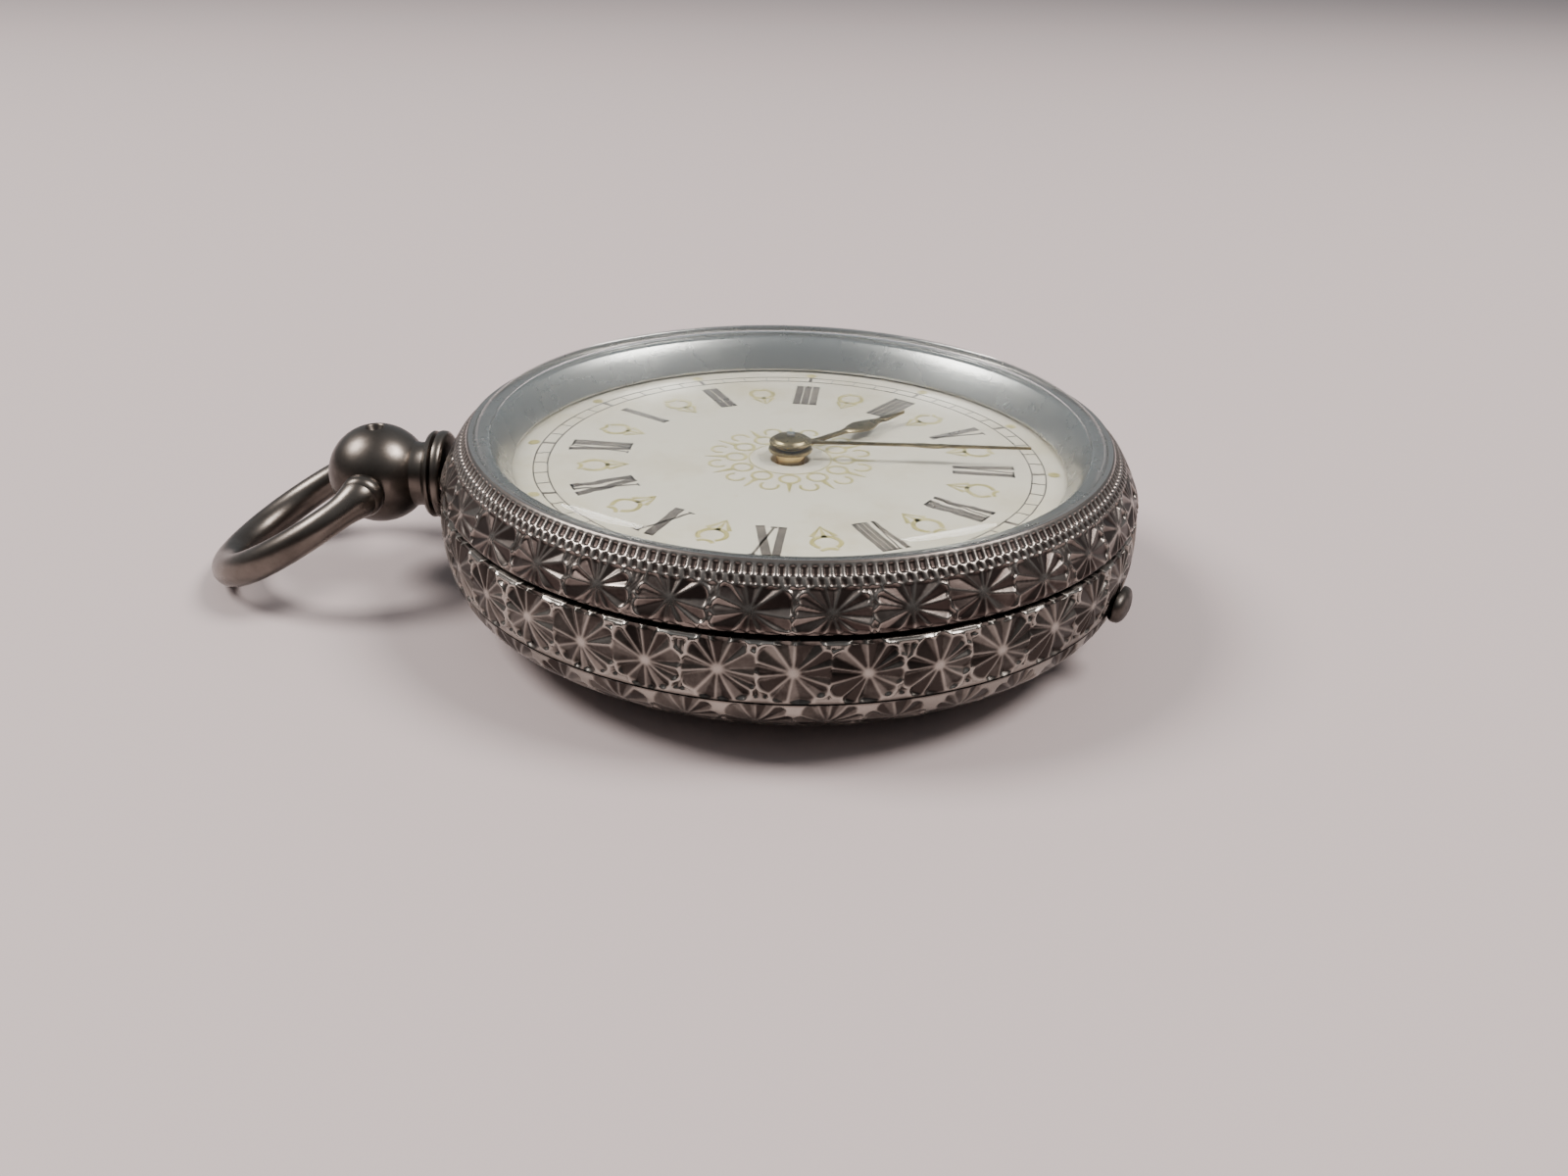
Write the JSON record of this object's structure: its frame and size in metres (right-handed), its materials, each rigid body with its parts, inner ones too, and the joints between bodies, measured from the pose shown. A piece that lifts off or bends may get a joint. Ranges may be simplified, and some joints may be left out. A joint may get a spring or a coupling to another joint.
{
  "type": "fob watch",
  "caption": "Ladies' key-wound open-face fob watch: engraved silver case with hinged bezel, back and inner cover, swinging bow, enamel dial, hands and going train",
  "frame": {"origin": "centre of the flat on the back cover, on the plane the watch lies on", "axes": "+Z out of the dial, -X from the case centre to the pendant and bow, +Y the way 3 o'clock lies"},
  "size_m": [0.0475, 0.035, 0.0104],
  "materials": {
    "silver": "engraved worn silver",
    "dark_silver": "smooth dark patinated silver",
    "silver_plain": "plain polished silver",
    "steel": "polished steel",
    "spring_steel": "hardened spring steel",
    "blued_steel": "heat-blued polished steel",
    "brass": "polished brass",
    "gilt_brass": "frosted gilt brass",
    "gilt_hands": "worn gilt",
    "ruby": "polished red jewel",
    "glass": "clear polished",
    "enamel": "glossy fired enamel on copper"
  },
  "bodies": {
    "case": {"case_middle": "silver", "middle_joint": "silver", "bezel_hinge_pin": "steel", "back_hinge_pin": "steel", "pendant_tube": "dark_silver", "pendant_ball": "dark_silver", "main_plate": "gilt_brass", "minute_wheel_stud": "steel", "third_bridge": "gilt_brass", "fourth_bridge": "gilt_brass", "centre_bridge": "gilt_brass", "barrel_bridge": "gilt_brass", "escape_bridge": "gilt_brass", "balance_cock": "gilt_brass", "jewels": "ruby", "bridge_screws": "blued_steel", "case_screws": "blued_steel", "click_screw": "blued_steel", "click_spring": "spring_steel", "hairspring": "spring_steel", "hairspring_stud": "steel", "dial": "enamel", "dial_feet": "brass"},
    "bezel_body": {"bezel": "silver", "bezel_joint": "silver", "crystal": "glass"},
    "back_body": {"back_cover": "silver", "back_joint": "silver", "back_lip": "silver"},
    "cuvette_body": {"cuvette": "silver_plain", "cuvette_joint": "silver_plain"},
    "bow_body": {"bow": "dark_silver", "bow_pins": "dark_silver"},
    "minute_hand_body": {"set_arbor": "steel", "cannon_pinion": "steel", "minute_hand": "gilt_hands", "hand_hub": "gilt_hands"},
    "minute_wheel_body": {"minute_wheel": "brass"},
    "hour_hand_body": {"hour_wheel": "brass", "hour_hand": "gilt_hands"},
    "third_wheel_body": {"third_wheel": "brass", "third_pinion": "steel"},
    "centre_wheel_body": {"centre_wheel": "brass", "centre_pinion": "steel"},
    "barrel_body": {"barrel": "brass", "barrel_cover": "brass", "mainspring": "spring_steel"},
    "winding_body": {"barrel_arbor": "steel", "ratchet_wheel": "steel"},
    "click_body": {"click": "steel"},
    "fourth_wheel_body": {"fourth_wheel": "brass", "fourth_pinion": "steel"},
    "escape_body": {"escape_wheel": "steel", "escape_pinion": "steel"},
    "balance_body": {"balance_wheel": "brass", "balance_staff": "steel"},
    "regulator_body": {"regulator": "steel"}
  },
  "joints": [
    {"name": "bezel_hinge", "type": "hinge", "parent": "case", "child": "bezel_body", "pos_m": [-0.00873, 0.01511, 0.00645], "axis": [-0.866, -0.5, 0], "range_deg": [0, 100]},
    {"name": "back_hinge", "type": "hinge", "parent": "case", "child": "back_body", "pos_m": [-0.00873, 0.01511, 0.00335], "axis": [0.866, 0.5, 0], "range_deg": [0, 100]},
    {"name": "cuvette_hinge", "type": "hinge", "parent": "case", "child": "cuvette_body", "pos_m": [-0.00873, 0.01511, 0.00335], "axis": [0.866, 0.5, 0], "range_deg": [0, 60]},
    {"name": "bow_swing", "type": "hinge", "parent": "case", "child": "bow_body", "pos_m": [-0.0211, 0, 0.00565], "axis": [0, 1, 0], "range_deg": [-59, 121]},
    {"name": "minute_hand_turn", "type": "hinge", "parent": "case", "child": "minute_hand_body", "pos_m": [0, 0, 0.00645], "axis": [0, 0, 1], "continuous": true},
    {"name": "minute_wheel_turn", "type": "hinge", "parent": "case", "child": "minute_wheel_body", "pos_m": [-0.00042, 0.00236, 0.00595], "axis": [0, 0, 1], "continuous": true},
    {"name": "hour_hand_turn", "type": "hinge", "parent": "case", "child": "hour_hand_body", "pos_m": [0, 0, 0.00645], "axis": [0, 0, 1], "continuous": true},
    {"name": "third_wheel_turn", "type": "hinge", "parent": "case", "child": "third_wheel_body", "pos_m": [0.002, 0.0048, 0.00445], "axis": [0, 0, 1], "continuous": true},
    {"name": "centre_wheel_turn", "type": "hinge", "parent": "case", "child": "centre_wheel_body", "pos_m": [0, 0, 0.00445], "axis": [0, 0, 1], "continuous": true},
    {"name": "barrel_turn", "type": "hinge", "parent": "case", "child": "barrel_body", "pos_m": [-0.0062, -0.00225, 0.00445], "axis": [0, 0, 1], "continuous": true},
    {"name": "fourth_wheel_turn", "type": "hinge", "parent": "case", "child": "fourth_wheel_body", "pos_m": [0.00613, 0.0033, 0.00445], "axis": [0, 0, 1], "continuous": true},
    {"name": "escape_wheel_turn", "type": "hinge", "parent": "case", "child": "escape_body", "pos_m": [0.00873, 0.0002, 0.00345], "axis": [0, 0, 1], "continuous": true},
    {"name": "balance_swing", "type": "hinge", "parent": "case", "child": "balance_body", "pos_m": [0.0079, -0.00206, 0.00255], "axis": [0, 0, 1], "range_deg": [-120, 120], "stiffness_Nm_per_rad": 0.00000017},
    {"name": "regulator_shift", "type": "hinge", "parent": "case", "child": "regulator_body", "pos_m": [0.0079, -0.00206, 0.00155], "axis": [0, 0, 1], "range_deg": [-15, 15]},
    {"name": "winding_turn", "type": "hinge", "parent": "case", "child": "winding_body", "pos_m": [-0.0062, -0.00225, 0.00195], "axis": [0, 0, 1], "range_deg": [0, 1440]},
    {"name": "click_lift", "type": "hinge", "parent": "case", "child": "click_body", "pos_m": [-0.0086, 0.00056, 0.00215], "axis": [0, 0, 1], "range_deg": [-10, 0], "stiffness_Nm_per_rad": 0.000002}
  ],
  "couplings": [
    {"joint": "cuvette_hinge", "follows": "back_hinge", "ratio": 0.6},
    {"joint": "minute_wheel_turn", "follows": "minute_hand_turn", "ratio": -0.33333},
    {"joint": "hour_hand_turn", "follows": "minute_hand_turn", "ratio": 0.083333},
    {"joint": "centre_wheel_turn", "follows": "third_wheel_turn", "ratio": -0.125},
    {"joint": "barrel_turn", "follows": "third_wheel_turn", "ratio": 0.020833},
    {"joint": "fourth_wheel_turn", "follows": "third_wheel_turn", "ratio": -7.5},
    {"joint": "escape_wheel_turn", "follows": "third_wheel_turn", "ratio": 75}
  ]
}
